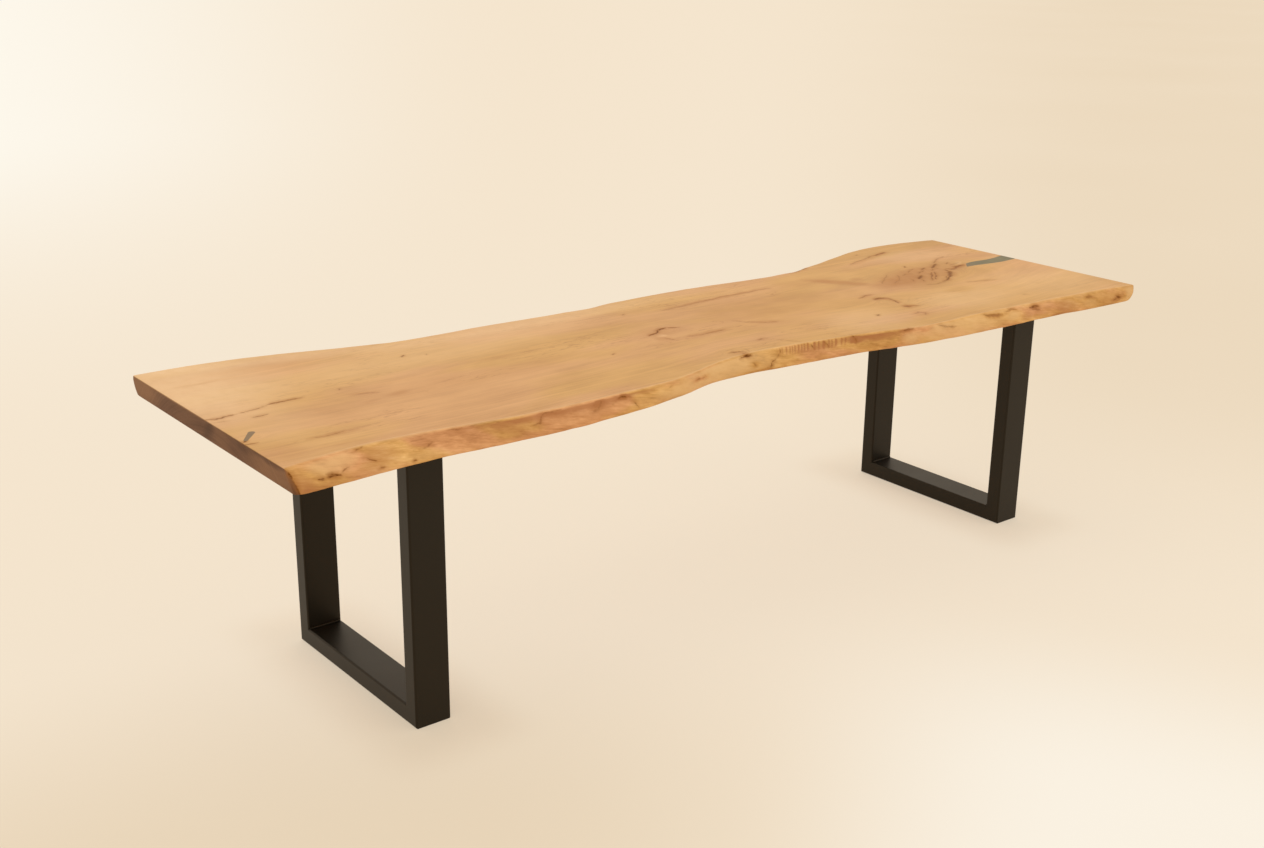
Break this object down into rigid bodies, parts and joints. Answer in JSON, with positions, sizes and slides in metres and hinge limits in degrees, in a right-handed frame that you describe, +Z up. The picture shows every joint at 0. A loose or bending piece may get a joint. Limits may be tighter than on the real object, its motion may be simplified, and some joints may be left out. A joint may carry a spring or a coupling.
{
  "type": "live edge dining table",
  "caption": "Long dining table: a natural-edged wooden slab with resin-filled cracks, carried on welded black U-frames of rectangular steel tube.",
  "frame": {"origin": "on the floor, under the middle of the table's box", "axes": "+X along the grain towards the end with the long resin fill, +Y to the back edge, +Z up"},
  "size_m": [2.88, 0.9128, 0.76],
  "materials": {
    "slab_wood": "satin oil over planed and sanded grain",
    "resin": "cast resin, sanded flush and polished",
    "black_steel": "satin black powder coat",
    "zinc_steel": "bright zinc plate",
    "glide_plastic": "matt moulded"
  },
  "bodies": {
    "root": {"live_edge_slab": "slab_wood", "epoxy_river_fill": "resin", "epoxy_knot_fill": "resin", "left_leg_front_post": "black_steel", "left_leg_back_post": "black_steel", "left_leg_bottom_rail": "black_steel", "left_leg_corner_welds": "black_steel", "left_leg_top_plate": "black_steel", "left_leg_plate_welds": "black_steel", "left_leg_floor_glides": "glide_plastic", "left_leg_bolts": "zinc_steel", "left_leg_washers": "zinc_steel", "left_leg_threaded_inserts": "zinc_steel", "right_leg_front_post": "black_steel", "right_leg_back_post": "black_steel", "right_leg_bottom_rail": "black_steel", "right_leg_corner_welds": "black_steel", "right_leg_top_plate": "black_steel", "right_leg_plate_welds": "black_steel", "right_leg_floor_glides": "glide_plastic", "right_leg_bolts": "zinc_steel", "right_leg_washers": "zinc_steel", "right_leg_threaded_inserts": "zinc_steel"}
  },
  "joints": []
}
